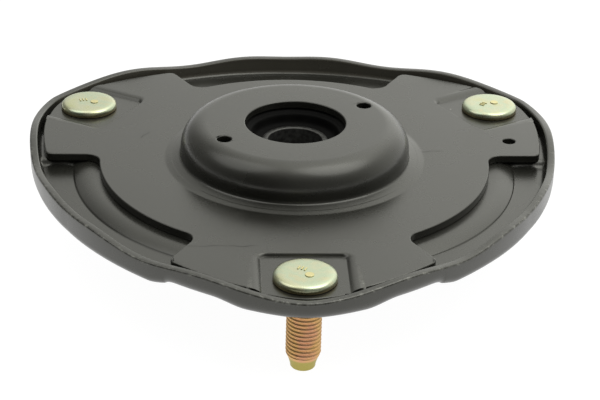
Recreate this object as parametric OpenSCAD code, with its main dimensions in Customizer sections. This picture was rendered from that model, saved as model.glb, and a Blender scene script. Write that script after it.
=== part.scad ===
// Strut top mount, shown with the spring side up and the three studs down.
// Z = 0 is the mounting face under the stud bosses, on the axis of the strut.

/* [Studs] */
// Diameter of the circle that the studs stand on
stud_circle_d = 152.6; // [140:0.2:170]
// Thread diameter of a stud
stud_d = 10; // [8:0.5:11]
// Length of a stud below the mounting face
stud_reach = 22; // [16:0.2:40]
// Length of the tapered point of a stud
stud_point_len = 4.6; // [2:0.2:8]
// Diameter at the end of the point
stud_point_d = 6.4; // [4:0.2:8]
// Diameter of the flat round head
head_d = 18; // [15:0.5:20]
// Thickness of the head
head_h = 2.75; // [2:0.05:4]
// Rounding of the head's top edge
head_edge_r = 0.9; // [0.2:0.1:1.5]
// Diameter of the plain neck that fills the holes in the two sheets
stud_neck_d = 10.8; // [8.6:0.1:12]
// Clearance between a stud's neck and its holes, on the radius
stud_clearance = 0.1; // [0.05:0.05:0.3]

/* [Base pan] */
// Sheet thickness of the pan
pan_sheet = 2.6; // [1.8:0.1:3.2]
// How far the rim reaches beyond the cover's edge, half way between two studs
rim_side_margin = 17.9; // [16:0.1:24]
// How far the rim reaches beyond the stud circle at a stud
rim_lobe_margin = 14.4; // [12:0.1:18]
// Angle over which a lobe of the rim fades away
rim_lobe_spread = 25.1; // [18:0.1:32]
// Roundness of a lobe, low for a pointed one
rim_lobe_power = 1.5; // [1.3:0.05:2]
// Mean height of the rim above the mounting face
rim_h = 7.2; // [6:0.1:12]
// How much the rim's top edge dips towards the studs
rim_dip = 0.29; // [0:0.01:0.5]
// Height of the long waves along the rim's top edge
rim_wave = 0.68; // [0:0.01:0.9]
// Height of the short waves along the rim's top edge
rim_ripple = 0.39; // [0:0.01:0.45]
// Height of the shortest waves along the rim's top edge
rim_flutter = 0.21; // [0:0.01:0.3]
// Thickness of the rim's wall
rim_wall = 2.5; // [1.8:0.1:3.2]
// Inner bend radius between the floor and the rim
rim_bend_r = 1.4; // [0.4:0.1:1.6]
// Outer bend radius under the rim at the studs
lobe_bend_r = 4; // [2:0.1:4.4]
// Outer bend radius under the rim at the pockets
pocket_bend_r = 2.9; // [2:0.1:4.4]
// Rounding of the rim's top edges
rim_edge_r = 0.6; // [0.2:0.1:0.8]
// How much wider the lowered boss at a stud is than the recess of the cover, on each side
boss_margin = 2.2; // [1.6:0.1:3]
// Width of the slope between a boss and the pads beside it
boss_slope = 2.2; // [2:0.1:4]
// Angle by which a raised pad is wider than the tab it carries
pad_margin = 0.2; // [0.1:0.1:4]
// Angle over which a pad falls into a pocket
step_angle = 3; // [2:0.1:4]
// Step down from the shoulder into a pocket
pocket_step = 0.3; // [0.1:0.05:0.8]
// Depth of a pocket at the rim, below the pads
pocket_drop = 1.9; // [0.6:0.05:2.2]
// How far the flat ring under the cover's edge reaches beyond it
ring_margin = 1.9; // [0.5:0.1:3]
// Width of the rounded slope from the flat ring out to the shoulder of a pocket
ring_slope_w = 6; // [4:0.1:8]
// Fall of that slope
shoulder_drop = 1.4; // [0.4:0.05:1.5]
// How far inside the cover's edge the ring turns down into the bowl
bowl_margin = 3.4; // [2.4:0.1:5]
// Radius of the bowl's floor
bowl_floor_r = 46; // [44:0.2:50]
// Depth of the bowl's underside below the mounting face
bowl_depth = 9; // [7:0.2:13]
// Diameter of the opening for the strut nut
hub_d = 60; // [52:0.5:66]

/* [Cover plate] */
// Sheet thickness of the cover
cover_sheet = 2.5; // [1.8:0.1:3]
// Radius of the cover between its tabs
cover_r = 60.4; // [58:0.2:62]
// Half angle of a tab
tab_half_angle = 29.3; // [27:0.1:31]
// Gap between a tab's end and the rim
tab_gap = 3; // [2.6:0.1:5]
// Share of that gap by which a tab comes closer to the rim at its corners
tab_flare = 0.43; // [0:0.01:0.44]
// Rounding of a tab's outer corners
tab_corner_r = 2.6; // [1:0.1:5]
// Fillet between a tab's side and the cover's edge
tab_root_r = 4.6; // [2:0.1:6]
// Width of the recess around a stud head
recess_w = 24.2; // [22:0.2:25]
// Depth of the recess
recess_depth = 1.4; // [0.8:0.1:1.8]
// How far the recess reaches inboard of the stud
recess_reach = 11.3; // [10.4:0.1:12]
// Rounding of the recess's inner corners
recess_corner_r = 2; // [1:0.1:4]
// Width of the pressed wall around the recess
recess_wall = 1.6; // [1:0.1:2]
// Outer radius of the dome
dome_r = 35.4; // [34:0.1:37]
// Height of the dome above the cover
dome_h = 11.7; // [10.5:0.1:16]
// Outer rounding of the dome's top edge
dome_edge_r = 8; // [4:0.1:9]
// Fillet at the dome's foot
dome_foot_r = 1.2; // [0.5:0.1:2]
// Diameter of the hole in the dome
dome_hole_d = 31; // [30:0.2:34]
// Outer radius of the raised ring around the dome
foot_ring_r = 41.1; // [39:0.1:44]
// Height of the raised ring at the dome, from where it slopes outwards
foot_ring_h = 1.3; // [0.4:0.05:1.6]
// Diameter of the two small holes in the dome
dome_pin_hole_d = 4.4; // [3:0.1:6]
// Radius on which the two small holes lie
dome_pin_hole_r = 25.4; // [23:0.1:26]
// Diameter of the hole in one tab
tab_hole_d = 4; // [3:0.1:6]
// Radius on which the tab's hole lies
tab_hole_r = 69.8; // [66:0.1:72]
// Angle of the tab's hole from the right stud
tab_hole_angle = -20.4; // [-24:0.1:-16]

/* [Rubber and core] */
// Bore of the sleeve that takes the strut rod
sleeve_bore_d = 16.6; // [14:0.2:18]
// Wall of the sleeve
sleeve_wall = 2; // [1.5:0.1:2.5]
// Depth of the sleeve's end below the dome's top
sleeve_sink = 6; // [5:0.1:7]
// Length of the sleeve
sleeve_len = 21; // [17:0.2:24]
// Diameter of the plate on the sleeve
core_plate_d = 44; // [36:0.5:50]
// Thickness of the plate
core_plate_t = 3; // [2:0.1:4]
// Depth of the plate's upper face below the sleeve's end
core_plate_sink = 6.6; // [5.6:0.1:8]
// Free travel of the core each way
core_travel = 2.5; // [1:0.1:3]
// Wall of the rubber inside the dome hole
rubber_lip = 0.9; // [0.5:0.1:2]
// How far the rubber lies below the sleeve's end
rubber_sink = 0.7; // [0.3:0.1:1.5]
// Gap left around the rubber
rubber_gap = 0.25; // [0.1:0.05:0.4]

/* [Hidden] */
$fn = 64;
// Directions of the front, left and right studs
stud_angles = [-90, 150, 30];
front = 0;
left = 1;
right = 2;
stud_r = stud_circle_d / 2;
stud_hole_r = stud_neck_d / 2 + stud_clearance;
rim_side_r = cover_r + rim_side_margin;
rim_lobe_rise = stud_r + rim_lobe_margin - rim_side_r;
// Half width of the boss under a recess, and half angle of the pads beside it
boss_half_w = recess_w / 2 + recess_wall + boss_margin;
pad_half_angle = tab_half_angle + pad_margin;
cut = 1;
// Heights of the two sheets, built up from the mounting face
boss_top = pan_sheet;
recess_floor = boss_top + cover_sheet;
pad_top = boss_top + recess_depth;
cover_top = pad_top + cover_sheet;
bowl_top = pan_sheet - bowl_depth;
dome_top = cover_top + dome_h;
dome_in_top = dome_top - cover_sheet;
dome_in_r = dome_r - cover_sheet;
head_top = recess_floor + head_h;
// Heights of the core
sleeve_r = sleeve_bore_d / 2 + sleeve_wall;
sleeve_top = dome_top - sleeve_sink;
core_plate_top = sleeve_top - core_plate_sink;
core_plate_r = core_plate_d / 2;
hub_r = hub_d / 2;
paint = [0.17, 0.17, 0.16];
zinc = [0.72, 0.70, 0.50];

// Angle from the nearest stud direction, 0 to 60
function lobe_angle(a) = abs(((a + 30) % 120 + 120) % 120 - 60);
// Smooth rise from 0 to 1 between two values
function rise(x, low, high) = let (t = min(1, max(0, (x - low) / (high - low)))) t * t * (3 - 2 * t);
function rim_r(d) = rim_side_r + rim_lobe_rise * exp(-pow(abs(d) / rim_lobe_spread, rim_lobe_power));
function rim_top(d) = rim_h - rim_dip * cos(3 * d) - rim_wave * cos(9 * d) - rim_ripple * cos(12 * d)
    + rim_flutter * cos(15 * d);
function polar(r, a) = [r * cos(a), r * sin(a)];
function arc(c, r, from, to, n) = [for (i = [0:n]) c + polar(r, from + (to - from) * i / n)];
function reversed(list) = [for (i = [len(list) - 1:-1:0]) list[i]];

// How far the pan is inside a pocket, 0 on a pad and 1 in the pocket
function in_pocket(d) = rise(d, pad_half_angle, pad_half_angle + step_angle);
// Height of the pads, lowered at a boss, whose sides run straight out to the rim
function pad_z(d, r) =
    boss_top + (pad_top - boss_top) * rise(r * sin(d), boss_half_w, boss_half_w + boss_slope);

// Ring under the cover's edge: flat at first, then rounded down to the shoulder of a pocket
bowl_bend = 3;
bowl_r = cover_r - bowl_margin;
ring_in_r = bowl_r + bowl_bend / 2;
ring_flat_r = cover_r + ring_margin;
shoulder_r = ring_flat_r + ring_slope_w;
ring_steps = 3;
ring_radii = concat(
    [ring_in_r],
    [for (i = [0:ring_steps]) ring_flat_r + ring_slope_w * i / ring_steps]
);
function ring_fall(r) = shoulder_drop * pow(max(0, (r - ring_flat_r) / ring_slope_w), 2);
function ring_rows(d) = [for (r = ring_radii) [r, pad_z(d, r) - in_pocket(d) * ring_fall(r)]];
// Floor between the shoulder and the bend of the rim, which sinks a little further in a pocket
step_w = 0.6;
floor_steps = 4;
pocket_start = shoulder_drop + pocket_step;
function floor_z(d, r, t) = pad_z(d, r) - in_pocket(d) * (pocket_start + (pocket_drop - pocket_start) * t);
function floor_rows(d, end_r) = [
    for (i = [0:floor_steps - 1])
        let (t = i / floor_steps, r = (shoulder_r + step_w) * (1 - t) + end_r * t) [r, floor_z(d, r, t)]
];

// Section of the pan at one angle, top side outwards and underside back
bend_steps = 3;
function pan_section(d) =
    let (
        out_r = rim_r(d),
        in_r = out_r - rim_wall,
        end_r = in_r - rim_bend_r,
        z = floor_z(d, end_r, 1),
        rows = concat(ring_rows(d), floor_rows(d, end_r)),
        ring_top = rows[0][1],
        out_bend_r = lobe_bend_r + (pocket_bend_r - lobe_bend_r) * in_pocket(d),
        bend_c = [end_r, z + rim_bend_r],
        out_c = [out_r - out_bend_r, z - pan_sheet + out_bend_r],
        top_z = rim_top(d),
        slope = atan2(ring_top - bowl_top, bowl_r - bowl_floor_r),
        under = [pan_sheet * sin(slope), -pan_sheet * cos(slope)],
        wall_low = [bowl_floor_r, bowl_top] + polar(bowl_bend, slope),
        wall_high = [bowl_r, ring_top] - polar(bowl_bend, slope),
        drop = [0, -pan_sheet]
    )
    concat(
        [[hub_r, bowl_top], [bowl_floor_r - bowl_bend, bowl_top], wall_low, wall_high],
        rows,
        arc(bend_c, rim_bend_r, -90, 0, bend_steps),
        [[in_r, top_z - rim_edge_r], [in_r + rim_edge_r, top_z]],
        [[out_r - rim_edge_r, top_z], [out_r, top_z - rim_edge_r]],
        arc(out_c, out_bend_r, 0, -90, bend_steps),
        [for (q = reversed(rows)) q + drop],
        [wall_high + under, wall_low + under],
        [[bowl_floor_r - bowl_bend / 2, bowl_top] + drop, [hub_r, bowl_top] + drop]
    );

// Angles at which the pan is sectioned, close together at each change of level
boss_near = asin(boss_half_w / rim_r(0));
boss_far = asin((boss_half_w + boss_slope) / ring_in_r);
slope_steps = 6;
half_angles = concat(
    [for (i = [0:2]) boss_near * i / 3],
    [for (i = [0:slope_steps]) boss_near + (boss_far - boss_near) * i / slope_steps],
    [for (i = [1:3]) boss_far + (pad_half_angle - boss_far) * i / 4],
    [pad_half_angle, pad_half_angle + step_angle / 2, pad_half_angle + step_angle],
    [for (i = [1:5]) pad_half_angle + step_angle + (60 - pad_half_angle - step_angle) * i / 5]
);
last_half = len(half_angles) - 1;
lobe_offsets = concat(
    [for (i = [last_half:-1:1]) -half_angles[i]],
    [for (i = [0:last_half - 1]) half_angles[i]]
);
pan_angles = [for (start = [-90, 30, 150]) for (offset = lobe_offsets) start + offset];

// Closed ring of sections; each section is a loop of radius and height
module swept_ring(angles, sections) {
    n = len(sections[0]);
    m = len(angles);
    points = [
        for (i = [0:m - 1]) for (q = sections[i]) [q[0] * cos(angles[i]), q[0] * sin(angles[i]), q[1]]
    ];
    faces = [
        for (i = [0:m - 1]) for (j = [0:n - 1])
            let (k = (i + 1) % m, l = (j + 1) % n)
            each [[i * n + j, k * n + l, i * n + l], [i * n + j, k * n + j, k * n + l]]
    ];
    polyhedron(points, faces, convexity = 6);
}

module at_studs() {
    for (a = stud_angles) rotate(a) translate([stud_r, 0]) children();
}

module base_pan() {
    color(paint) difference() {
        swept_ring(pan_angles, [for (a = pan_angles) pan_section(lobe_angle(a))]);
        at_studs() translate([0, 0, -cut]) cylinder(r = stud_hole_r, h = pan_sheet + 2 * cut);
    }
}

// Outline of one tab of the cover, pointing along X
function tab_end_r(d) = rim_r(d) - rim_wall - tab_gap * (1 - tab_flare * pow(d / tab_half_angle, 2));
function tab_end_slope(d) = atan(-(tab_end_r(d + 0.5) - tab_end_r(d - 0.5)) * 180 / PI / tab_end_r(d));
tab_end_steps = 24;
tab_corner_steps = 4;
function tab_half_outline() =
    let (
        slope = tab_end_slope(tab_half_angle),
        turn = asin(tab_corner_r / tab_end_r(tab_half_angle)),
        c_angle = tab_half_angle - turn,
        c = polar(tab_end_r(c_angle) - tab_corner_r / cos(slope), c_angle)
    )
    concat(
        [polar(cover_r / 2, tab_half_angle)],
        arc(c, tab_corner_r, tab_half_angle + 90, c_angle + slope, tab_corner_steps),
        [
            for (i = [tab_end_steps / 2 - 1:-1:0])
                let (d = c_angle * i * 2 / tab_end_steps) polar(tab_end_r(d), d)
        ]
    );

module tab_outline() {
    half = tab_half_outline();
    mirrored = [for (q = reversed(half)) [q[0], -q[1]]];
    polygon(concat(half, [for (i = [1:len(mirrored) - 1]) mirrored[i]]));
}

// Fillet between the cover's round edge and one side of a tab
module tab_root() {
    along = sqrt(pow(cover_r + tab_root_r, 2) - pow(tab_root_r, 2));
    c = polar(along, tab_half_angle) + polar(tab_root_r, tab_half_angle + 90);
    c_angle = atan2(c[1], c[0]);
    inside = tab_half_angle - 2;
    difference() {
        polygon([polar(cover_r - 2, inside), polar(along, inside), polar(along, tab_half_angle), c,
                 polar(cover_r - 2, c_angle)]);
        translate(c) circle(r = tab_root_r);
    }
}

module cover_outline() {
    circle(r = cover_r, $fn = 128);
    for (a = stud_angles) rotate(a) {
        tab_outline();
        tab_root();
        mirror([0, 1]) tab_root();
    }
}

// Recess around a stud head: round inner corners, open towards the rim
module recess_outline(grow) {
    inner = stud_r - recess_reach - grow;
    half = recess_w / 2 + grow;
    corner = recess_corner_r + grow;
    end = rim_r(0);
    translate([inner + corner, -half]) square([end - inner - corner, 2 * half]);
    translate([inner, corner - half]) square([corner, 2 * (half - corner)]);
    for (side = [-1, 1]) translate([inner + corner, side * (half - corner)]) circle(r = corner);
}

// Section of the dome with a rounded top edge, open below
module dome_section(r, top, edge_r, bottom) {
    translate([0, bottom]) square([r - edge_r, top - bottom]);
    translate([0, bottom]) square([r, top - edge_r - bottom]);
    translate([r - edge_r, top - edge_r]) circle(r = edge_r);
}

// Sloping ring around the dome, with the fillet at the dome's foot
module foot_ring_section() {
    ring_z = cover_top + foot_ring_h;
    foot_r = dome_r + dome_foot_r;
    polygon([[dome_in_r, pad_top], [foot_ring_r, pad_top], [foot_ring_r, cover_top], [foot_r, ring_z],
             [dome_in_r, ring_z]]);
    difference() {
        translate([dome_in_r, ring_z]) square([foot_r - dome_in_r, dome_foot_r]);
        translate([foot_r, ring_z + dome_foot_r]) circle(r = dome_foot_r);
    }
}

module cover_plate() {
    color(paint) difference() {
        union() {
            translate([0, 0, pad_top]) linear_extrude(cover_sheet) cover_outline();
            for (a = stud_angles) translate([0, 0, boss_top]) linear_extrude(cover_sheet) intersection() {
                rotate(a) recess_outline(recess_wall);
                cover_outline();
            }
            rotate_extrude() dome_section(dome_r, dome_top, dome_edge_r, pad_top);
            rotate_extrude() foot_ring_section();
        }
        rotate_extrude() dome_section(dome_in_r, dome_in_top, dome_edge_r - cover_sheet, boss_top - cut);
        for (a = stud_angles) rotate(a) translate([0, 0, recess_floor])
            linear_extrude(dome_h) recess_outline(0);
        at_studs() translate([0, 0, boss_top - cut]) cylinder(r = stud_hole_r, h = cover_sheet + 2 * cut);
        translate([0, 0, dome_in_top - cut]) cylinder(d = dome_hole_d, h = cover_sheet + 2 * cut);
        for (turn = [0, 180]) rotate(stud_angles[right] + turn)
            translate([dome_pin_hole_r, 0, dome_in_top - cut])
                cylinder(d = dome_pin_hole_d, h = cover_sheet + 2 * cut);
        rotate(stud_angles[right] + tab_hole_angle) translate([tab_hole_r, 0, pad_top - cut])
            cylinder(d = tab_hole_d, h = cover_sheet + 2 * cut);
    }
}

// Rubber between the dome and the bowl, bonded around the core
module rubber_bush() {
    top = dome_in_top - rubber_gap;
    bottom = bowl_top + rubber_gap;
    side = dome_in_r - rubber_gap;
    shoulder_in = dome_in_r - (dome_edge_r - cover_sheet);
    lip_r = dome_hole_d / 2 - rubber_lip;
    well = sleeve_top - rubber_sink;
    foot_r = bowl_floor_r - bowl_bend - rubber_gap;
    seat_r = hub_r + core_travel;
    low_end = sleeve_top - sleeve_len + core_travel;
    color([0.05, 0.05, 0.05]) rotate_extrude() difference() {
        polygon([
            [sleeve_r + rubber_gap, low_end], [sleeve_r + core_travel, low_end],
            [sleeve_r + 2 * core_travel, bottom + core_plate_t], [hub_r - core_travel, bottom + core_plate_t],
            [seat_r, bottom], [foot_r, bottom], [foot_r, bottom + core_plate_t],
            [side, pad_top - core_plate_t], [side, top - dome_edge_r], [shoulder_in, top],
            [lip_r, top], [lip_r - rubber_lip / 2, well + rubber_lip], [lip_r - rubber_lip, well],
            [sleeve_r + rubber_gap, well]
        ]);
        translate([0, core_plate_top - core_plate_t - rubber_gap])
            square([core_plate_r + rubber_gap, core_plate_t + 2 * rubber_gap]);
    }
}

module inner_sleeve() {
    color([0.3, 0.3, 0.29]) translate([0, 0, sleeve_top - sleeve_len]) difference() {
        cylinder(r = sleeve_r, h = sleeve_len);
        translate([0, 0, -cut]) cylinder(d = sleeve_bore_d, h = sleeve_len + 2 * cut);
    }
}

module core_plate() {
    color([0.3, 0.3, 0.29]) translate([0, 0, core_plate_top - core_plate_t]) difference() {
        cylinder(r = core_plate_r, h = core_plate_t);
        translate([0, 0, -cut]) cylinder(r = sleeve_r, h = core_plate_t + 2 * cut);
    }
}

// Stud: round flat head on the cover, plain neck through both sheets, thread with a tapered point
module stud(which) {
    color(zinc) rotate(stud_angles[which]) translate([stud_r, 0]) rotate_extrude() {
        translate([0, recess_floor]) square([head_d / 2, head_h - head_edge_r]);
        translate([0, recess_floor]) square([head_d / 2 - head_edge_r, head_h]);
        translate([head_d / 2 - head_edge_r, head_top - head_edge_r]) intersection() {
            circle(r = head_edge_r);
            square(head_edge_r);
        }
        polygon([
            [0, -stud_reach], [stud_point_d / 2, -stud_reach], [stud_d / 2, stud_point_len - stud_reach],
            [stud_d / 2, 0], [stud_neck_d / 2, 0], [stud_neck_d / 2, recess_floor], [0, recess_floor]
        ]);
    }
}

module stud_front() { stud(front); }
module stud_left() { stud(left); }
module stud_right() { stud(right); }

base_pan();
cover_plate();
rubber_bush();
inner_sleeve();
core_plate();
stud_front();
stud_left();
stud_right();
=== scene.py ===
import math

import bmesh
import bpy
from mathutils import Matrix, Vector


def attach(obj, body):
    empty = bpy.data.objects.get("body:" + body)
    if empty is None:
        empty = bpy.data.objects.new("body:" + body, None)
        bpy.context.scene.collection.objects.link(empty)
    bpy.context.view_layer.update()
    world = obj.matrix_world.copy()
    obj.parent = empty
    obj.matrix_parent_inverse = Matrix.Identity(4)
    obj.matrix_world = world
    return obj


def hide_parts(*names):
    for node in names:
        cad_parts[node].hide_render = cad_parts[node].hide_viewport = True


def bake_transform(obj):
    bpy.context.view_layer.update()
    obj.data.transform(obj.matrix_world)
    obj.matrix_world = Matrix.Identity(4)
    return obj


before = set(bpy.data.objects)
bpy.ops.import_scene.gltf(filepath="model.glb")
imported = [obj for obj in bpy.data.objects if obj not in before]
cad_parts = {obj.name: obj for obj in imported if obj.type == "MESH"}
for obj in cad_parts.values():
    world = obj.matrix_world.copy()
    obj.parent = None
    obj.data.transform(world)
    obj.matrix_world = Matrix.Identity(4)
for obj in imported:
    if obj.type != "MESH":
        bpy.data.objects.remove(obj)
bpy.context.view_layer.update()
mm = 0.001  # every size below is in millimetres

studAngles = {"stud_front": -90, "stud_left": 150, "stud_right": 30}
studCircleRadius = 76.3


# shared helpers

def polar(radius, angle):
    turn = math.radians(angle)
    return radius * math.cos(turn), radius * math.sin(turn)


def arc(centre, radius, start, end, steps):
    points = []
    for i in range(steps + 1):
        x, y = polar(radius, start + (end - start) * i / steps)
        points.append((centre[0] + x, centre[1] + y))
    return points


def rise(x, low, high):
    t = min(1.0, max(0.0, (x - low) / (high - low)))
    return t * t * (3 - 2 * t)


def evenAngles(count):
    return [-180 + 360 * (i + 1) / count for i in range(count)]


def pick(piece):
    bpy.ops.object.select_all(action="DESELECT")
    bpy.context.view_layer.objects.active = piece
    piece.select_set(True)


def editMode(piece):
    bpy.ops.object.mode_set(mode="OBJECT")
    pick(piece)
    bpy.ops.object.mode_set(mode="EDIT")


def objectMode():
    bpy.ops.object.mode_set(mode="OBJECT")


def mergeDoubles(gap=0.002):
    bpy.ops.mesh.select_all(action="SELECT")
    bpy.ops.mesh.remove_doubles(threshold=gap * mm)


# a ring of vertices is extruded row by row, and each row is laid on the section at its angle
def sweepRings(name, angles, sectionAt, closed=True, capped=False):
    bpy.ops.object.select_all(action="DESELECT")
    fill = "NGON" if capped else "NOTHING"
    bpy.ops.mesh.primitive_circle_add(vertices=len(angles), radius=mm, fill_type=fill)
    piece = bpy.context.object
    piece.name = name
    sections = [sectionAt(a) for a in angles]
    rows = len(sections[0])
    bpy.ops.object.mode_set(mode="EDIT")
    for row in range(rows + 1 if closed else rows):
        if row:
            bpy.ops.mesh.extrude_region_move()
        mesh = bmesh.from_edit_mesh(piece.data)
        ring = sorted((v for v in mesh.verts if v.select), key=lambda v: math.atan2(v.co.y, v.co.x))
        for vertex, angle, section in zip(ring, angles, sections):
            radius, height = section[row % rows]
            x, y = polar(radius * mm, angle)
            vertex.co = (x, y, height * mm)
        bmesh.update_edit_mesh(piece.data)
    if closed:
        mergeDoubles()
    bpy.ops.mesh.select_all(action="SELECT")
    bpy.ops.mesh.normals_make_consistent(inside=False)
    objectMode()
    return piece


def spun(name, count, section, closed=True, capped=False):
    return sweepRings(name, evenAngles(count), lambda a: section, closed, capped)


# a loop of edges laid along a path of flat points at one height
def laidLoop(name, points, height):
    bpy.ops.object.select_all(action="DESELECT")
    bpy.ops.mesh.primitive_circle_add(vertices=len(points), radius=mm)
    piece = bpy.context.object
    piece.name = name
    for vertex, (x, y) in zip(piece.data.vertices, points):
        vertex.co = (x * mm, y * mm, height * mm)
    return piece


def joined(first, *others):
    bpy.ops.object.select_all(action="DESELECT")
    for piece in (first, *others):
        piece.select_set(True)
    bpy.context.view_layer.objects.active = first
    bpy.ops.object.join()
    return first


def applied(piece, kind, **settings):
    pick(piece)
    modifier = piece.modifiers.new(kind.lower(), kind)
    for key, value in settings.items():
        setattr(modifier, key, value)
    bpy.ops.object.modifier_apply(modifier=modifier.name)
    return piece


def drill(piece, x, y, low, high, diameter, sides=40):
    bpy.ops.object.select_all(action="DESELECT")
    bpy.ops.mesh.primitive_cylinder_add(
        vertices=sides, radius=diameter / 2 * mm, depth=(high - low) * mm,
        location=(x * mm, y * mm, (low + high) / 2 * mm))
    bit = bpy.context.object
    applied(piece, "BOOLEAN", object=bit, operation="DIFFERENCE", solver="EXACT")
    bpy.data.objects.remove(bit)


def smoothByAngle(piece, degrees):
    pick(piece)
    bpy.ops.object.shade_smooth_by_angle(angle=math.radians(degrees))


# 1 where an edge rubs bare, and where a wall gets painted light, 0 elsewhere; the materials read it by name
def markWearAndPaintedLight(piece, name, amountAt):
    layer = piece.data.attributes.new(name, "FLOAT", "POINT")
    values = [amountAt(v.co / mm, v.normal) for v in piece.data.vertices]
    layer.data.foreach_set("value", values)


def finishPiece(piece, material, body, slot, *nodes):
    piece.data.materials.clear()
    piece.data.materials.append(material)
    if body:
        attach(piece, body)
    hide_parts(*nodes)


# shader helpers

def newMaterial(name):
    material = bpy.data.materials.new(name)
    material.use_nodes = True
    tree = material.node_tree
    place = tree.nodes.new("ShaderNodeTexCoord").outputs["Object"]
    return material, tree, tree.nodes["Principled BSDF"], place


def addNode(tree, kind, links=None, values=None, **settings):
    node = tree.nodes.new("ShaderNode" + kind)
    for key, value in settings.items():
        setattr(node, key, value)
    for key, value in (values or {}).items():
        node.inputs[key].default_value = value
    for key, source in (links or {}).items():
        tree.links.new(source, node.inputs[key])
    return node


def noise(tree, place, scale, detail):
    values = {"Scale": scale, "Detail": detail, "Roughness": 0.55}
    return addNode(tree, "TexNoise", {"Vector": place}, values).outputs["Fac"]


def ramp(tree, source, *stops):
    node = addNode(tree, "ValToRGB", {"Fac": source})
    elements = node.color_ramp.elements
    while len(elements) < len(stops):
        elements.new(0.5)
    for element, (position, colour) in zip(elements, stops):
        element.position = position
        element.color = (*colour, 1)
    return node.outputs["Color"]


def grey(value):
    return value, value, value


def band(tree, source, low, high, start=0.0, end=1.0):
    node = addNode(tree, "MapRange", {"Value": source}, {
        "From Min": low, "From Max": high, "To Min": start, "To Max": end})
    return node.outputs["Result"]


def blendColours(tree, factor, first, second):
    node = tree.nodes.new("ShaderNodeMix")
    node.data_type = "RGBA"
    tree.links.new(factor, node.inputs[0])
    for index, value in ((6, first), (7, second)):
        if isinstance(value, tuple):
            node.inputs[index].default_value = (*value, 1)
        else:
            tree.links.new(value, node.inputs[index])
    return node.outputs[2]


def calc(tree, operation, first, second=None):
    node = addNode(tree, "Math", operation=operation)
    for socket, value in zip(node.inputs, (first, second)):
        if isinstance(value, (int, float)):
            socket.default_value = value
        elif value is not None:
            tree.links.new(value, socket)
    return node.outputs[0]


def bumpFrom(tree, height, depth, strength):
    values = {"Strength": strength, "Distance": depth * mm}
    return addNode(tree, "Bump", {"Height": height}, values).outputs["Normal"]


# satin black coating on stamped steel

coating = {
    "dark": (0.0155, 0.0155, 0.0128),
    "light": (0.0205, 0.0205, 0.0172),
    "rubbed": (0.07, 0.07, 0.062),
    "bare": (0.16, 0.16, 0.143),
    # painted light on the rim's inner wall where it faces forwards
    "paintedWallLight": (0.075, 0.07, 0.056),
    "rough": (0.3, 0.7, 0.22, 0.31),  # from and to, of the cloud and of the roughness
    "sheen": (1.0, 1.0, 0.93),
    "ior": 1.66,
    "cloudScale": 55,  # soft patches, per metre
    "cloudSpan": (0.35, 0.65),
    "peelScale": 2300,  # orange peel
    "peelDepth": 0.035,
    "peelStrength": 0.45,
    "rubSpan": (0.35, 0.6),
    "chipScale": 620,
    "chipFade": 0.06,
    "dustScale": 70,
    "dustSize": (0.026, 0.014),  # a speck's edge and its full tone, as shares of a cell
    "dustShare": (0.7, 0.72),  # cells above this have a speck
    "scratchSway": 1.6,
    "scratchSwayScale": 160,
    "scratchWidth": (0.26, 0.1),  # half of it, at the edge and at full tone
    "specularLevel": (0.5, 0.14),  # on the coating and in a scratch
}


# a few tiny light specks, one at most in each cell of a wide pattern
def dustSpecks(tree, place):
    cells = addNode(tree, "TexVoronoi", {"Vector": place}, {"Scale": coating["dustScale"]})
    near = band(tree, cells.outputs["Distance"], *coating["dustSize"])
    cellColour = addNode(tree, "SeparateColor", {"Color": cells.outputs["Color"]})
    chosen = band(tree, cellColour.outputs["Red"], *coating["dustShare"])
    return calc(tree, "MULTIPLY", near, chosen)


# a thin dull line, a little crooked, centred at x and y and turned from X
def scratchLine(tree, place, x, y, length, turn):
    local = addNode(tree, "Mapping", {"Vector": place}, {
        "Location": (x * mm, y * mm, 0), "Rotation": (0, 0, math.radians(turn))}, vector_type="TEXTURE")
    sides = addNode(tree, "SeparateXYZ", {"Vector": local.outputs["Vector"]}).outputs
    sway = coating["scratchSway"] * mm
    offset = band(tree, noise(tree, place, coating["scratchSwayScale"], 1), 0, 1, -sway, sway)
    across = calc(tree, "ABSOLUTE", calc(tree, "ADD", sides["Y"], offset))
    along = calc(tree, "ABSOLUTE", sides["X"])
    outside, inside = coating["scratchWidth"]
    return calc(tree, "MULTIPLY", band(tree, across, outside * mm, inside * mm),
                band(tree, along, length / 2 * mm, length / 3 * mm))


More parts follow.
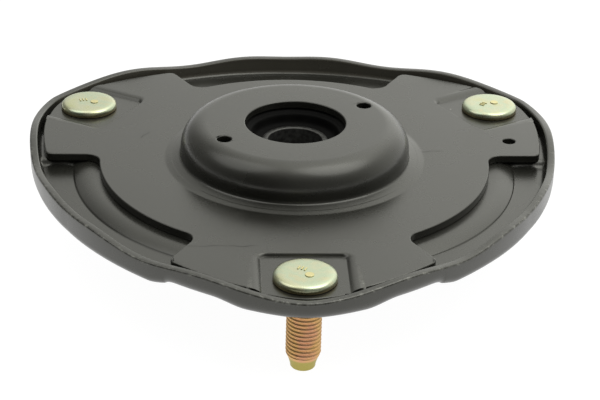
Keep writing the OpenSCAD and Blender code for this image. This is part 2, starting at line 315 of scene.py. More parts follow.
def satinCoating(name, chipLevel, scratches=()):
    material, tree, shader, place = newMaterial(name)
    cloud = noise(tree, place, coating["cloudScale"], 4)
    speck = noise(tree, place, coating["chipScale"], 2)
    peel = noise(tree, place, coating["peelScale"], 2)
    colour = blendColours(tree, band(tree, cloud, *coating["cloudSpan"]), coating["dark"], coating["light"])
    paintedWallLight = addNode(tree, "Attribute", attribute_name="wallPaintedLight").outputs["Fac"]
    # painted light: the rim's inner wall, where it faces forwards, is painted a lighter warm grey
    colour = blendColours(tree, paintedWallLight, colour, coating["paintedWallLight"])
    wear = addNode(tree, "Attribute", attribute_name="edgeWear").outputs["Fac"]
    rubbed = calc(tree, "MULTIPLY", wear, band(tree, speck, *coating["rubSpan"]))
    colour = blendColours(tree, rubbed, colour, coating["rubbed"])
    chips = calc(tree, "MULTIPLY", wear, band(tree, speck, chipLevel, chipLevel + coating["chipFade"]))
    colour = blendColours(tree, chips, colour, coating["bare"])
    colour = blendColours(tree, dustSpecks(tree, place), colour, coating["bare"])
    tree.links.new(colour, shader.inputs["Base Color"])
    tree.links.new(band(tree, cloud, *coating["rough"]), shader.inputs["Roughness"])
    height = calc(tree, "SUBTRACT", peel, chips)
    normal = bumpFrom(tree, height, coating["peelDepth"], coating["peelStrength"])
    tree.links.new(normal, shader.inputs["Normal"])
    if scratches:
        lines = [scratchLine(tree, place, *scratch) for scratch in scratches]
        dull = lines[0]
        for line in lines[1:]:
            dull = calc(tree, "MAXIMUM", dull, line)
        tree.links.new(band(tree, dull, 0, 1, *coating["specularLevel"]), shader.inputs["Specular IOR Level"])
    shader.inputs["IOR"].default_value = coating["ior"]
    shader.inputs["Specular Tint"].default_value = (*coating["sheen"], 1)
    return material


# base pan: stamped sheet with an upturned wavy rim, raised pads under the tabs and a bowl

pan = {
    "sheet": 2.6,
    "rimSide": 78.3,
    "lobeMargin": 14.4,
    "lobeSpread": 25.1,
    "lobePower": 1.5,
    "rimHeight": 7.2,
    "rimDip": 0.29,
    "rimWave": 0.68,
    "rimRipple": 0.39,
    "rimFlutter": 0.21,
    "rimWall": 2.5,
    "bend": 1.4,
    "lobeBend": 4.0,
    "pocketBend": 2.9,
    "rimEdge": 0.6,
    "bossTop": 2.6,
    "bossHalf": 15.9,
    "bossSlope": 9.0,
    "padTop": 4.0,
    "padHalf": 27.4,
    "stepAngle": 2.2,
    "underStep": (26.0, 33.0),
    "ringIn": 58.5,
    "ringFlat": 62.3,
    "shoulder": 68.3,
    "shoulderDrop": 1.4,
    "shoulderHalf": 0.25,
    "pocketCorner": 3.0,
    "pocketStep": 0.3,
    "pocketDrop": 1.9,
    "bowlRadius": 57.0,
    "bowlFloor": 46.0,
    "bowlTop": -6.4,
    "bowlFoot": [(-3.0, 0.0), (-1.3, 0.12)],  # out and up from the bowl's floor
    "bowlRows": (1.6, 3.2, 6.0, 9.0, 11.4),  # along the bowl's wall
    "bowlLip": [(-1.0, -1.05), (0.2, -0.35)],  # out and up from the ring's inner edge
    "underFoot": 1.5,
    "underRows": (1.6, 6.0, 11.4),
    "hubRadius": 30.0,
    "hubEdge": 0.4,
    "shoulderRows": 67.7,  # from here the rows lie close together
    "outerRows": 9,
    "edgeRow": 0.35,  # a row of its own below the rim's edge keeps the wear narrow
    "fineFrom": 26.5,  # the sections lie closer from this angle, across the pad's end
    "paintedLightFacing": (0.15, 0.75),
    "wearReach": (0.3, 0.75),
    "chipLevel": 0.59,
    "smoothAngle": 40,
}
pan["lobeRise"] = studCircleRadius + pan["lobeMargin"] - pan["rimSide"]


def lobeAngle(angle):
    return abs((angle + 30) % 120 - 60)


def radiusAndLobe(place):
    return math.hypot(place.x, place.y), lobeAngle(math.degrees(math.atan2(place.y, place.x)))


def rimRadius(d):
    return pan["rimSide"] + pan["lobeRise"] * math.exp(-(abs(d) / pan["lobeSpread"]) ** pan["lobePower"])


def rimTop(d):
    height = pan["rimHeight"]
    for size, waves in ((pan["rimDip"], 3), (pan["rimWave"], 9),
                        (pan["rimRipple"], 12), (-pan["rimFlutter"], 15)):
        height -= size * math.cos(math.radians(waves * d))
    return height


# millimetres inside a pocket, with its inner corner rounded
def pocketDepthIn(radius, d):
    fromPad = math.radians(d - pan["padHalf"] - pan["stepAngle"] / 2) * radius
    fromShoulder = radius - pan["shoulder"]
    corner = pan["pocketCorner"]
    if fromPad < corner and fromShoulder < corner:
        return corner - math.hypot(corner - fromPad, corner - fromShoulder)
    return min(fromPad, fromShoulder)


def inPocket(d):
    return rise(d, pan["padHalf"], pan["padHalf"] + pan["stepAngle"])


# the ring outside the cover's edge is rounded down to the shoulder, where a small step leads into a pocket
def panFloor(radius, d):
    level = pan["bossTop"] + (pan["padTop"] - pan["bossTop"]) * rise(
        radius * math.sin(math.radians(d)), pan["bossHalf"], pan["bossHalf"] + pan["bossSlope"])
    along = (radius - pan["ringFlat"]) / (pan["shoulder"] - pan["ringFlat"])
    level -= pan["shoulderDrop"] * min(1.0, max(0.0, along)) ** 2 * inPocket(d)
    inside = rise(pocketDepthIn(radius, d), -pan["shoulderHalf"], pan["shoulderHalf"])
    slope = (radius - pan["shoulder"]) / (rimRadius(d) - pan["rimWall"] - pan["bend"] - pan["shoulder"])
    further = pan["pocketDrop"] - pan["shoulderDrop"] - pan["pocketStep"]
    return level - pan["pocketStep"] * inside - further * min(1.0, max(0.0, slope)) * inPocket(d)


def panSection(angle):
    d = lobeAngle(angle)
    sheet, edge, bend = pan["sheet"], pan["rimEdge"], pan["bend"]
    outR = rimRadius(d)
    inR = outR - pan["rimWall"]
    top = rimTop(d)
    outBend = pan["lobeBend"] + (pan["pocketBend"] - pan["lobeBend"]) * inPocket(d)
    lastFlat = inR - bend
    floorZ = panFloor(lastFlat, d)
    underZ = floorZ - sheet + pan["pocketDrop"] * (inPocket(d) - rise(d, *pan["underStep"]))
    low, high = pan["bowlTop"], panFloor(pan["ringIn"], d)
    slope = math.atan2(high - low, pan["bowlRadius"] - pan["bowlFloor"])
    along = (math.cos(slope), math.sin(slope))
    hub = pan["hubRadius"]
    wall = [(pan["bowlFloor"] + out, low + up) for out, up in pan["bowlFoot"]]
    wall += [(pan["bowlFloor"] + step * along[0], low + step * along[1]) for step in pan["bowlRows"]]
    wall += [(pan["bowlRadius"] + out, high + up) for out, up in pan["bowlLip"]]
    flatRows = ((pan["ringIn"], 0.95, 4), (pan["ringFlat"], 0.6, 9), (pan["shoulderRows"], 0.125, 12))
    flats = [start + step * i for start, step, count in flatRows for i in range(count)]
    outerRows = pan["outerRows"]
    outer = [flats[-1] + (lastFlat - flats[-1]) * (i / outerRows) for i in range(1, outerRows)]
    upper = [(hub + pan["hubEdge"], low), *wall]
    upper += [(r, panFloor(r, d)) for r in flats + outer]
    upper += arc((inR - bend, floorZ + bend), bend, -90, 0, 5)
    upper += arc((inR + edge, top - edge), edge, 180, 90, 4)
    upper += arc((outR - edge, top - edge), edge, 90, 0, 4)
    upper.append((outR, top - edge - pan["edgeRow"]))
    upper += arc((outR - outBend, underZ + outBend), outBend, 0, -90, 7)
    under = [(hub + pan["hubEdge"], low - sheet), (pan["bowlFloor"] - pan["underFoot"], low - sheet)]
    normal = (sheet * math.sin(slope), -sheet * math.cos(slope))
    for step in pan["underRows"]:
        under.append((pan["bowlFloor"] + step * along[0] + normal[0], low + step * along[1] + normal[1]))
    under += [(r, panFloor(r, d) - sheet) for r in flats[2:-1:2] + outer[::3]]
    rounding = [(hub, low - sheet + pan["hubEdge"]), (hub, low - pan["hubEdge"])]
    return upper + under[::-1] + rounding


def panAngles():
    half = [float(i) for i in range(61)] + [pan["fineFrom"] + i / 4 for i in range(24)]
    angles = set()
    for stud in studAngles.values():
        for d in half:
            for side in (-1, 1):
                angle = (stud + side * d + 180) % 360 - 180
                angles.add(round(180.0 if angle == -180 else angle, 3))
    return sorted(angles)


# painted light: the wall inside the rim is painted lighter where it faces forwards
def rimWallPaintedLight(place, normal):
    radius, d = radiusAndLobe(place)
    inward, wall = rimRadius(d) - radius, pan["rimWall"]
    onWall = rise(inward, wall - 0.3, wall - 0.05) * (1 - rise(inward, wall, wall + 1))
    return onWall * rise(-normal.y, *pan["paintedLightFacing"])


def rimWear(place, normal):
    radius, d = radiusAndLobe(place)
    fromTop = abs(place.z - rimTop(d))
    fromEdge = abs(radius - rimRadius(d))
    return 1 - rise(fromTop + fromEdge, *pan["wearReach"])


basePan = sweepRings("basePan", panAngles(), panSection)
smoothByAngle(basePan, pan["smoothAngle"])
markWearAndPaintedLight(basePan, "edgeWear", rimWear)
markWearAndPaintedLight(basePan, "wallPaintedLight", rimWallPaintedLight)
finishPiece(basePan, satinCoating("panCoating", pan["chipLevel"]), "housing", "pan_paint", "base_pan")
print("base pan", len(basePan.data.polygons), "faces")


# cover plate: three tabs with open recesses, a raised foot ring and the dome

cover = {
    "sheet": 2.5,
    "radius": 60.4,
    "top": 6.5,
    "tabHalf": 29.3,
    "tabGap": 1.2,
    "tabFlare": -1.05,
    "tabCorner": 2.6,
    "tabRoot": 4.6,
    "recessWidth": 23.9,
    "recessDepth": 0.98,
    "recessIn": 63.3,
    "recessCorner": 2.0,
    "recessFan": 3.0,  # how much softer the sides are than the inner edge
    "recessWall": [(1.0, 0.0), (0.8, 0.03), (0.6, 0.1), (0.42, 0.24), (0.28, 0.44), (0.17, 0.68),
                   (0.08, 0.9), (0.03, 0.98), (0.0, 1.0)],  # reach beyond the floor, share of the depth
    "apron": 43.0,
    "domeRadius": 35.4,
    "domeTop": 18.2,
    "domeEdge": 8.0,
    "domeHole": 31.0,
    "domeSides": 192,
    "domeFlat": 21.5,
    "domeFoot": [(0.0, -0.6), (0.7, -1.9)],  # inside the sheet, out and up from the plate's top
    "footRing": [(0.0, 7.6), (0.0, 6.4), (0.0, 5.5), (0.0, 5.05), (0.012, 4.82), (0.055, 4.55), (0.15, 4.1),
                 (0.26, 3.62), (0.39, 3.1), (0.46, 2.82), (0.462, 2.73), (0.51, 2.6), (0.63, 2.12),
                 (0.77, 1.65), (0.91, 1.15), (1.03, 0.76), (1.14, 0.48), (1.29, 0.26), (1.52, 0.11),
                 (1.9, 0.03), (2.3, 0.0)],  # up from the plate, out from the dome
    "lobeOrder": (30, -90, 150),  # the outline runs clockwise
    "pinHole": 4.4,
    "pinHoleRadius": 25.4,
    "pinHoleAngles": (30, 210),
    "tabHole": 4.0,
    "tabHoleRadius": 69.8,
    "tabHoleAngle": 9.6,
    "studHole": 11.0,
    "edge": 0.42,
    "mouthDepth": 8.0,  # from the recess's inner edge out to its mouth
    "mouthMargin": (1.5, 1.0),  # degrees inside and outside the recess's side
    "wearWidth": 0.7,
    "wearFacing": (0.25, 0.97),
    "chipLevel": 0.66,
    "smoothAngle": 32,
    "scratches": [(43.2, 3.6, 8, 8), (-23.3, -59.0, 24, 0), (-47.0, 15.0, 6, 70)],  # x, y, length, turn
}


def tabEnd(d):
    gap = cover["tabGap"] * (1 - cover["tabFlare"] * (d / cover["tabHalf"]) ** 2)
    return rimRadius(d) - pan["rimWall"] - gap


# half of one lobe's outline, from between two studs in to the recess, with the stud along X
def halfOutline():
    half, root, corner = cover["tabHalf"], cover["tabRoot"], cover["tabCorner"]
    along = math.sqrt((cover["radius"] + root) ** 2 - root ** 2)
    x, y = polar(along, half)
    dx, dy = polar(root, half + 90)
    rootCentre = (x + dx, y + dy)
    rootAngle = math.degrees(math.atan2(rootCentre[1], rootCentre[0]))
    points = [polar(cover["radius"], 60 + (rootAngle - 60) * i / 14) for i in range(14)]
    points += arc(rootCentre, root, rootAngle - 180, half - 90, 10)
    fall = -(tabEnd(half + 0.5) - tabEnd(half - 0.5)) / math.radians(1)
    slope = math.degrees(math.atan(fall / tabEnd(half)))
    cornerAngle = half - math.degrees(math.asin(corner / tabEnd(half)))
    cornerCentre = polar(tabEnd(cornerAngle) - corner / math.cos(math.radians(slope)), cornerAngle)
    points += arc(cornerCentre, corner, half + 90, cornerAngle + slope, 8)
    mouth = mouthAngle(cover["recessWall"][0][0])
    endAngles = [cornerAngle + (mouth - cornerAngle) * i / 16 for i in range(1, 17)]
    return points + [polar(tabEnd(d), d) for d in endAngles]


# where the side of the recess, moved out by a reach, meets the tab's end
def mouthAngle(reach):
    low, high = 0.0, cover["tabHalf"]
    side = cover["recessWidth"] / 2 + reach * cover["recessFan"]
    for _ in range(40):
        middle = (low + high) / 2
        if tabEnd(middle) * math.sin(math.radians(middle)) < side:
            low = middle
        else:
            high = middle
    return low


# the recess from its mouth round to the other side, moved out by a reach
def recessPath(reach):
    soft = reach * cover["recessFan"]
    side, corner = cover["recessWidth"] / 2 + soft, cover["recessCorner"] + reach
    inner = cover["recessIn"] - reach
    end = mouthAngle(reach)
    half = [polar(tabEnd(end), end), (inner + corner, side)]
    for x, y in arc((0, 0), 1, 90, 180, 7)[1:]:
        half.append((inner + corner + corner * x, side + (cover["recessCorner"] + soft) * (y - 1)))
    return half + mirrored(half)


def mirrored(points):
    return [(x, -y) for x, y in reversed(points)]


def turned(points, angle):
    c, s = math.cos(math.radians(angle)), math.sin(math.radians(angle))
    return [(x * c - y * s, x * s + y * c) for x, y in points]


def makeCover():
    side = halfOutline()
    rows = [(recessPath(reach), cover["top"] - share * cover["recessDepth"])
            for reach, share in cover["recessWall"]]
    topPath, floorPath = rows[0][0], rows[-1][0]
    lobe = side[:-1] + topPath + mirrored(side)[1:-1]
    pathStart, pathEnd = len(side) - 1, len(side) + len(topPath) - 2
    end = mouthAngle(0)
    mouth = [polar(tabEnd(d), d) for d in [-end + 2 * end * i / 16 for i in range(1, 16)]]
    outline, floors, steps = [], [], set()
    for count, angle in enumerate(cover["lobeOrder"]):
        outline += turned(lobe, angle)
        first = count * len(lobe)
        steps |= {(first + i, first + i + 1) for i in range(pathStart, pathEnd)}
        floor = laidLoop("recessFloor", turned(floorPath + mouth, angle), rows[-1][1])
        editMode(floor)
        bpy.ops.mesh.select_all(action="SELECT")
        bpy.ops.mesh.edge_face_add()
        objectMode()
        floors.append(floor)
    plate = laidLoop("coverPlate", outline, cover["top"])
    apronPath = [polar(cover["apron"], a) for a in evenAngles(cover["domeSides"])]
    apron = laidLoop("apron", apronPath, cover["top"])
    joined(plate, apron)
    editMode(plate)
    bpy.ops.mesh.select_all(action="SELECT")
    bpy.ops.mesh.fill(use_beauty=True)
    bpy.ops.mesh.select_all(action="DESELECT")
    mesh = bmesh.from_edit_mesh(plate.data)
    mesh.verts.ensure_lookup_table()
    for edge in mesh.edges:
        a, b = sorted(v.index for v in edge.verts)
        if (a, b) in steps:
            edge.select_set(True)
    bmesh.update_edit_mesh(plate.data)
    # the wall of each recess goes down row by row, with a rounded upper edge
    for before, (path, height) in zip(rows, rows[1:]):
        bpy.ops.mesh.extrude_region_move()
        moves = []
        for angle in studAngles.values():
            moves += zip(turned(before[0], angle), turned(path, angle))
        mesh = bmesh.from_edit_mesh(plate.data)
        for vertex in (v for v in mesh.verts if v.select):
            place = (vertex.co.x / mm, vertex.co.y / mm)
            x, y = min(moves, key=lambda move: math.dist(move[0], place))[1]
            vertex.co = (x * mm, y * mm, height * mm)
        bmesh.update_edit_mesh(plate.data)
    objectMode()
    joined(plate, *floors)
    editMode(plate)
    mergeDoubles()
    bpy.ops.mesh.normals_make_consistent(inside=False)
    mesh = bmesh.from_edit_mesh(plate.data)
    if sum(f.normal.z * f.calc_area() for f in mesh.faces) < 0:
        bpy.ops.mesh.flip_normals()
    objectMode()
    applied(plate, "SOLIDIFY", thickness=cover["sheet"] * mm, offset=-1, use_even_offset=True)
    # the inner edge is opened again and the dome is set into it
    editMode(plate)
    bpy.ops.mesh.select_all(action="DESELECT")
    bpy.ops.mesh.select_mode(type="FACE")
    mesh = bmesh.from_edit_mesh(plate.data)
    for face in mesh.faces:
        onApron = all(abs(math.hypot(v.co.x, v.co.y) / mm - cover["apron"]) < 0.05 for v in face.verts)
        face.select_set(onApron)
    bmesh.update_edit_mesh(plate.data)
    bpy.ops.mesh.delete(type="FACE")
    bpy.ops.mesh.select_mode(type="VERT")
    objectMode()
    dome = spun("dome", cover["domeSides"], domeSection(), closed=False)
    joined(plate, dome)
    editMode(plate)
    mergeDoubles(0.01)
    bpy.ops.mesh.normals_make_consistent(inside=False)
    objectMode()
    low, high = cover["top"] - cover["sheet"], cover["domeTop"]
    for angle in studAngles.values():
        x, y = polar(studCircleRadius, angle)
        drill(plate, x, y, 0, high, cover["studHole"], 48)
    for angle in cover["pinHoleAngles"]:
        x, y = polar(cover["pinHoleRadius"], angle)
        drill(plate, x, y, high - 2 * cover["sheet"], high + 1, cover["pinHole"])
    x, y = polar(cover["tabHoleRadius"], cover["tabHoleAngle"])
    drill(plate, x, y, low - 1, cover["top"] + 1, cover["tabHole"])
    markSharpEdges(plate)
    applied(plate, "BEVEL", width=cover["edge"] * mm, segments=3, limit_method="WEIGHT",
            use_clamp_overlap=False)
    smoothByAngle(plate, cover["smoothAngle"])
    applied(plate, "WEIGHTED_NORMAL", mode="FACE_AREA", weight=100, keep_sharp=True)
    return plate


# the long edges of the sheet and its holes are rounded, but not the short ones at a recess's mouth
def markSharpEdges(plate):
    editMode(plate)
    mesh = bmesh.from_edit_mesh(plate.data)
    weights = mesh.edges.layers.float.new("bevel_weight_edge")
    for edge in mesh.edges:
        if len(edge.link_faces) == 2:
            flat, upright = sorted((abs(f.normal.z) for f in edge.link_faces), reverse=True)
            middle = (edge.verts[0].co + edge.verts[1].co) / 2 / mm
            edge[weights] = 1.0 if flat > 0.8 and upright < 0.2 and not atMouth(middle) else 0.0
    bmesh.update_edit_mesh(plate.data)
    objectMode()


def atMouth(place):
    radius, d = radiusAndLobe(place)
    before, after = cover["mouthMargin"]
    inner, outer = mouthAngle(0) - before, mouthAngle(cover["recessWall"][0][0]) + after
    return radius > cover["recessIn"] + cover["mouthDepth"] and inner < d < outer


# from the apron over the foot ring and the dome to its hole, and back inside
def domeSection():
    top, sheet, edge = cover["domeTop"], cover["sheet"], cover["domeEdge"]
    outer, base = cover["domeRadius"], cover["top"]
    hole = cover["domeHole"] / 2
    section = [(outer + out, base + up) for up, out in cover["footRing"]]
    section += arc((outer - edge, top - edge), edge, 0, 90, 14)
    section += [(cover["domeFlat"], top), (hole, top), (hole, top - sheet)]
    section += arc((outer - edge, top - edge), edge - sheet, 90, 0, 8)
    section += [(outer - sheet + out, base + up) for out, up in cover["domeFoot"]]
    return section + [(outer, base - sheet), (cover["apron"], base - sheet)]


# the coating is rubbed off the upper edge of each tab's end
def coverWear(place, normal):
    radius, d = radiusAndLobe(place)
    low, high = cover["wearFacing"]
    atEnd = radius > tabEnd(d) - cover["wearWidth"] and d > mouthAngle(cover["recessWall"][0][0])
    return 1.0 if atEnd and low < normal.z < high else 0.0


coverPlate = makeCover()
markWearAndPaintedLight(coverPlate, "edgeWear", coverWear)
coverCoating = satinCoating("coverCoating", cover["chipLevel"], cover["scratches"])
finishPiece(coverPlate, coverCoating, "housing", "cover_paint", "cover_plate")
print("cover plate", len(coverPlate.data.polygons), "faces")


# studs: round head with rounded edge, plain neck, fine thread and a plain tapered point

stud = {
    "headRadius": 9.0,
    "headTop": 7.85,
    "headSeat": 5.1,
    "headEdge": 1.45,
    "neck": 5.4,
    "radius": 5.0,
    "pitch": 1.25,
    "threadDepth": 0.34,
    "pointStart": -17.2,
    "tip": -22.0,
    "tipRadius": 3.5,
    "pointCurve": 1.6,
    "headRows": [(3.0, 0.0), (6.0, -0.01), (7.6, -0.03)],  # radius, and up from the top
    "headCrown": 0.04,
    "headFoot": [(0.0, 0.75), (0.08, 0.6), (0.28, 0.46), (0.6, 0.38)],  # in from the side, up from the seat
    "tipRows": [(0.06, 0.4), (-0.15, 0.12), (-0.6, 0.0)],  # out and up from the tip
    "sides": 48,
    "rowsPerTurn": 12,
    "smoothAngle": 38,
    "bars": ((-2.6, 1.5), (-1.6, 1.7), (-0.6, 1.5)),
    "barSize": (0.5, 1.7, 0.44),
    "disc": (1.6, -0.9),
    "discRadius": 1.3,
    "markEdge": 0.1,
    "firstTurn": -25,
    "nextTurn": 40,
    "headTones": [(0.3, (0.53, 0.55, 0.31)), (0.45, (0.56, 0.57, 0.40)),
                  (0.55, (0.50, 0.57, 0.41)), (0.68, (0.58, 0.55, 0.36))],
    "threadTones": [(0.3, (0.7, 0.42, 0.19)), (0.5, (0.71, 0.45, 0.18)), (0.65, (0.7, 0.39, 0.22))],
    # painted shade: the lower side of each head is painted darker and browner
    "paintedSideShade": (0.5, 0.42, 0.23),
    "tipTone": (0.44, 0.38, 0.11),
    "markTone": (0.68, 0.62, 0.32),
    "paintedShadeZone": (6.9, 6.0),  # heights where a tone starts and is full
    "threadZone": (5.2, 4.4),
    "tipZone": (-18.2, -18.9),
    "markZone": (0.04, 0.1),  # over the head's top
    "rough": (0.3, 0.7, 0.26, 0.33),
    "threadRough": 0.2,
}


def threadRadius(z, angle):
    phase = (z / stud["pitch"] + angle / 360) % 1
    fromCrest = abs(phase - 0.5) * 2
    full = stud["radius"] - stud["threadDepth"] * rise(fromCrest, 0.0, 1.0)
    taper = (z - stud["tip"]) / (stud["pointStart"] - stud["tip"])
    spread = min(1.0, taper) ** stud["pointCurve"]
    envelope = stud["tipRadius"] + (stud["radius"] - stud["tipRadius"]) * spread
    return min(full, envelope)


def studSection(angle):
    head, top, edge, seat = stud["headRadius"], stud["headTop"], stud["headEdge"], stud["headSeat"]
    section = [(radius, top + up) for radius, up in stud["headRows"]]
    section += arc((head - edge, top - edge - stud["headCrown"]), edge, 86, 0, 7)
    section += [(head - inwards, seat + up) for inwards, up in stud["headFoot"]]
    section += [(stud["neck"], seat), (stud["neck"], 0.05), (stud["radius"] - 0.3, 0.0)]
    step = stud["pitch"] / stud["rowsPerTurn"]
    rows = int((stud["tip"] + 0.5) / -step)
    section += [(threadRadius(-step * i, angle), -step * i) for i in range(1, rows)]
    return section + [(stud["tipRadius"] + out, stud["tip"] + up) for out, up in stud["tipRows"]]


# plain raised bars and a raised disc on a head, in place of stamped signs
def headMarks(top):
    marks = []
    for x, y in stud["bars"]:
        bpy.ops.object.select_all(action="DESELECT")
        bpy.ops.mesh.primitive_cube_add(size=mm, location=(x * mm, y * mm, top * mm))
        bpy.context.object.scale = stud["barSize"]
        marks.append(finishedMark())
    x, y = stud["disc"]
    bpy.ops.object.select_all(action="DESELECT")
    bpy.ops.mesh.primitive_cylinder_add(
        vertices=24, radius=stud["discRadius"] * mm, depth=stud["barSize"][2] * mm,
        location=(x * mm, y * mm, top * mm))
    marks.append(finishedMark())
    return marks


def finishedMark():
    mark = bpy.context.object
    bpy.ops.object.transform_apply(location=True, rotation=True, scale=True)
    return applied(mark, "BEVEL", width=stud["markEdge"] * mm, segments=2, limit_method="ANGLE")


def yellowZinc():
    material, tree, shader, place = newMaterial("yellowZinc")
    height = addNode(tree, "SeparateXYZ", {"Vector": place}).outputs["Z"]
    film = noise(tree, place, 130, 3)
    grain = noise(tree, place, 2600, 2)
    headTone = ramp(tree, film, *stud["headTones"])
    threadTone = ramp(tree, film, *stud["threadTones"])
    inPaintedShade, belowSeat, atTip = (
        band(tree, height, *(z * mm for z in stud[zone])) for zone in ("paintedShadeZone", "threadZone", "tipZone"))
    onMarks = band(tree, height, *((stud["headTop"] + up) * mm for up in stud["markZone"]))
    # painted shade on the lower side of each head
    colour = blendColours(tree, inPaintedShade, headTone, stud["paintedSideShade"])
    colour = blendColours(tree, belowSeat, colour, threadTone)
    colour = blendColours(tree, onMarks, colour, stud["markTone"])
    colour = blendColours(tree, atTip, colour, stud["tipTone"])
    tree.links.new(colour, shader.inputs["Base Color"])
    shader.inputs["Metallic"].default_value = 1.0
    rougher = calc(tree, "MULTIPLY", belowSeat, stud["threadRough"])
    rough = calc(tree, "ADD", band(tree, grain, *stud["rough"]), rougher)
    tree.links.new(rough, shader.inputs["Roughness"])
    tree.links.new(bumpFrom(tree, grain, 0.01, 0.07), shader.inputs["Normal"])
    return material


zinc = yellowZinc()
firstStud = sweepRings("stud", evenAngles(stud["sides"]), studSection, closed=False, capped=True)
smoothByAngle(firstStud, stud["smoothAngle"])
firstStud = joined(firstStud, *headMarks(stud["headTop"]))
for count, (node, angle) in enumerate(studAngles.items()):
    pick(firstStud)
    bpy.ops.object.duplicate()
    piece = bpy.context.object
    piece.name = node.replace("stud_", "stud") + "Dressed"
    piece.rotation_euler = (0, 0, math.radians(stud["nextTurn"] * count + stud["firstTurn"]))
    x, y = polar(studCircleRadius * mm, angle)
    piece.location = (x, y, 0)
    bpy.ops.object.transform_apply(location=True, rotation=True, scale=True)
    finishPiece(piece, zinc, "housing", "stud_zinc", node)
bpy.data.objects.remove(firstStud)
print("studs placed")


# rubber: lip in the dome, a web under the core plate, and a collar on the sleeve

rubber = {
    "upper": [(15.3, 15.4), (14.75, 15.3), (14.5, 15.0), (14.3, 14.85), (14.0, 14.75), (13.75, 14.6),
              (13.6, 14.3), (13.5, 13.4), (13.35, 12.4), (13.05, 11.8), (12.5, 11.52), (10.55, 11.5),
              (10.55, 9.5), (20.0, 9.5), (20.0, 15.4)],
    "web": [(12.75, 1.2), (13.2, 0.2), (15.3, -1.8), (20.0, -2.9), (26.0, -3.5), (28.5, -4.2), (30.4, -5.4),
            (32.0, -6.05), (42.4, -6.1), (42.4, -4.5), (34.0, 0.0), (24.0, 2.4), (12.75, 2.4)],
    "collar": [(10.35, 2.5), (12.8, 2.5), (12.8, -5.6), (12.5, -6.1), (12.0, -6.3), (10.35, -6.3)],
    "sides": 96,
    "dark": (0.0035, 0.0035, 0.0032),
    "light": (0.007, 0.007, 0.0064),
}


def mouldedRubber():
    material, tree, shader, place = newMaterial("mouldedRubber")
    dust = noise(tree, place, 160, 4)
    grain = noise(tree, place, 2200, 2)
    colour = blendColours(tree, band(tree, dust, 0.4, 0.75), rubber["dark"], rubber["light"])
    tree.links.new(colour, shader.inputs["Base Color"])
    tree.links.new(band(tree, dust, 0.3, 0.7, 0.6, 0.8), shader.inputs["Roughness"])
    tree.links.new(bumpFrom(tree, grain, 0.03, 0.3), shader.inputs["Normal"])
    shader.inputs["Specular IOR Level"].default_value = 0.08
    return material


blackRubber = mouldedRubber()
rubberLip = spun("rubberLip", rubber["sides"], rubber["upper"])
rubberWeb = spun("rubberWeb", rubber["sides"], rubber["web"])
rubberCollar = spun("rubberCollar", rubber["sides"], rubber["collar"])
for piece, body in ((rubberLip, None), (rubberWeb, None), (rubberCollar, "core")):
    smoothByAngle(piece, 50)
    finishPiece(piece, blackRubber, body, "rubber", "rubber_bush")
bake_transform(rubberLip)
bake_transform(rubberWeb)
print("rubber blended")


# sleeve for the strut rod, with chamfered ends

sleeve = {
    "bore": 8.3,
    "outer": 10.3,
    "top": 12.2,
    "bottom": -8.8,
    "chamfer": 0.45,
    "sides": 96,
    "dark": (0.05, 0.05, 0.047),
    "light": (0.1, 0.1, 0.095),
}


def sleeveSection():
    inner, outer, cut = sleeve["bore"], sleeve["outer"], sleeve["chamfer"]
    top, bottom = sleeve["top"], sleeve["bottom"]
    return [(inner, top - cut), (inner + cut * 0.35, top - cut * 0.3), (inner + cut, top),
            (outer - cut, top), (outer - cut * 0.3, top - cut * 0.3), (outer, top - cut),
            (outer, bottom + cut), (outer - cut, bottom), (inner + cut, bottom), (inner, bottom + cut)]


def phosphatedSteel():
    material, tree, shader, place = newMaterial("phosphatedSteel")
    grain = noise(tree, place, 900, 3)
    colour = blendColours(tree, band(tree, grain, 0.35, 0.65), sleeve["dark"], sleeve["light"])
    tree.links.new(colour, shader.inputs["Base Color"])
    shader.inputs["Metallic"].default_value = 0.8
    tree.links.new(band(tree, grain, 0.3, 0.7, 0.32, 0.46), shader.inputs["Roughness"])
    tree.links.new(bumpFrom(tree, grain, 0.02, 0.2), shader.inputs["Normal"])
    return material


steel = phosphatedSteel()
innerSleeve = spun("innerSleeve", sleeve["sides"], sleeveSection())
smoothByAngle(innerSleeve, 35)
finishPiece(innerSleeve, steel, "core", "core_steel", "inner_sleeve")
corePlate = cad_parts["core_plate"]
corePlate.data.materials.clear()
corePlate.data.materials.append(steel)
print("core done")


# floor, soft light and the camera

stage = {
    "floorHeight": -22.0,
    "floorSize": 8000,
    "roomTint": (1.0, 1.0, 0.95),
    "roomFront": 0.17,
    "roomBack": 1.085,
    "roomRight": 0.65,  # how much brighter the right side is
    "roomOver": 0.6,  # how much brighter it is overhead
    "roomSides": 0.45,  # how much darker it is far to either side
    "depthSpan": (-0.85, 0.5),  # shares of a direction over which each of these comes in
    "rightSpan": (-0.5, 0.5),
    "overSpan": (0.6, 1.0),
    "sideSpan": (0.25, 0.8),
    "floorGlow": 0.97,
    "floorTone": 0.12,
    "floorMottle": 1.04,
    "boxDistance": 900,
    "boxSize": 720,
    "boxPower": 2.0,
    "boxRight": (0.395, -0.08, 0.915),
    "boxLeft": (-0.53, 0.05, 0.846),
    "leftShare": 0.72,
}


def paleFloor():
    material, tree, shader, place = newMaterial("paleFloor")
    mottle = noise(tree, place, 12, 2)
    tone = stage["floorTone"]
    colour = blendColours(tree, mottle, grey(tone), grey(tone * stage["floorMottle"]))
    tree.links.new(colour, shader.inputs["Base Color"])
    shader.inputs["Roughness"].default_value = 0.9
    shader.inputs["Specular IOR Level"].default_value = 0.0
    shader.inputs["Emission Color"].default_value = (1, 1, 1, 1)
    shader.inputs["Emission Strength"].default_value = stage["floorGlow"]
    return material


bpy.ops.object.select_all(action="DESELECT")
bpy.ops.mesh.primitive_plane_add(size=stage["floorSize"] * mm, location=(0, 0, stage["floorHeight"] * mm))
floor = bpy.context.object
floor.name = "floor"
bpy.ops.object.transform_apply(location=True, rotation=True, scale=True)
floor.data.materials.append(paleFloor())


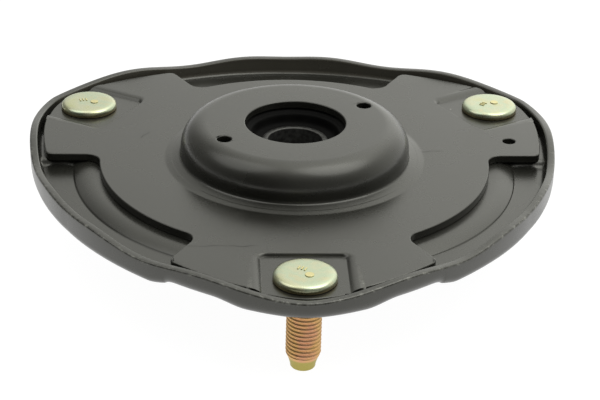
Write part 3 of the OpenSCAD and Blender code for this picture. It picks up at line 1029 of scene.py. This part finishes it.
# soft light from the room, brighter behind, overhead and to the right
def paleRoom():
    world = bpy.data.worlds.new("paleRoom")
    bpy.context.scene.world = world
    world.use_nodes = True
    tree = world.node_tree
    room = tree.nodes["Background"]
    room.inputs["Color"].default_value = (*stage["roomTint"], 1)
    towards = tree.nodes.new("ShaderNodeTexCoord").outputs["Generated"]
    sides = addNode(tree, "SeparateXYZ", {"Vector": towards}).outputs
    front, back = stage["depthSpan"]
    depth = addNode(tree, "MapRange", {"Value": sides["Y"]}, {
        "From Min": front, "From Max": back, "To Min": stage["roomFront"], "To Max": stage["roomBack"]},
        interpolation_type="SMOOTHSTEP").outputs["Result"]
    across = band(tree, sides["X"], *stage["rightSpan"], -stage["roomRight"], stage["roomRight"])
    over = band(tree, sides["Z"], *stage["overSpan"], 1.0, 1.0 + stage["roomOver"])
    sideways = calc(tree, "ABSOLUTE", sides["X"])
    flank = band(tree, sideways, *stage["sideSpan"], 1.0, 1.0 - stage["roomSides"])
    strength = calc(tree, "MULTIPLY", calc(tree, "MULTIPLY", depth, over), calc(tree, "ADD", across, 1.0))
    strength = calc(tree, "MULTIPLY", strength, flank)
    tree.links.new(strength, room.inputs["Strength"])


paleRoom()


def softBox(name, direction, power):
    bpy.ops.object.light_add(type="AREA")
    light = bpy.context.object
    light.name = name
    light.data.shape = "DISK"
    light.data.size = stage["boxSize"] * mm
    light.data.energy = power
    aim = Vector(direction).normalized()
    light.location = aim * stage["boxDistance"] * mm
    light.rotation_mode = "QUATERNION"
    light.rotation_quaternion = (-aim).to_track_quat("-Z", "Y")


softBox("boxRight", stage["boxRight"], stage["boxPower"])
softBox("boxLeft", stage["boxLeft"], stage["boxPower"] * stage["leftShare"])
bpy.context.scene.view_settings.view_transform = "Standard"

# the camera fitted to the photo
view = {
    "distance": 559.185,
    "elevation": 25.693,
    "objectTurn": 2.843,
    "pan": 0.209,
    "tilt": -1.252,
    "roll": 1.481,
    "lens": 107.645,
    "sensor": 36.0,
    "aimHeight": 4.85,
    "clipStart": 10,
}


def swung(first, second, angle):
    c, s = math.cos(angle), math.sin(angle)
    return first * c + second * s, second * c - first * s


def placeCamera():
    up, across = math.radians(view["elevation"]), math.radians(view["pan"])
    tilt, roll = math.radians(view["tilt"]), math.radians(view["roll"])
    place = Vector((0, -math.cos(up), math.sin(up))) * view["distance"]
    right, top, ahead = Vector((1, 0, 0)), Vector((0, math.sin(up), math.cos(up))), -place.normalized()
    ahead, right = swung(ahead, right, across)
    ahead, top = swung(ahead, top, tilt)
    right, top = swung(right, top, roll)
    turn = Matrix.Rotation(math.radians(-view["objectTurn"]), 4, "Z")
    axes = Matrix((right, top, -ahead)).transposed().to_4x4()
    bpy.ops.object.camera_add()
    camera = bpy.context.object
    camera.name = "photoCamera"
    camera.data.lens = view["lens"]
    camera.data.sensor_width = view["sensor"]
    camera.data.clip_start = view["clipStart"] * mm
    lifted = turn @ place + Vector((0, 0, view["aimHeight"]))
    camera.matrix_world = Matrix.Translation(lifted * mm) @ turn @ axes
    bpy.context.scene.camera = camera


placeCamera()
print("stage and camera set")
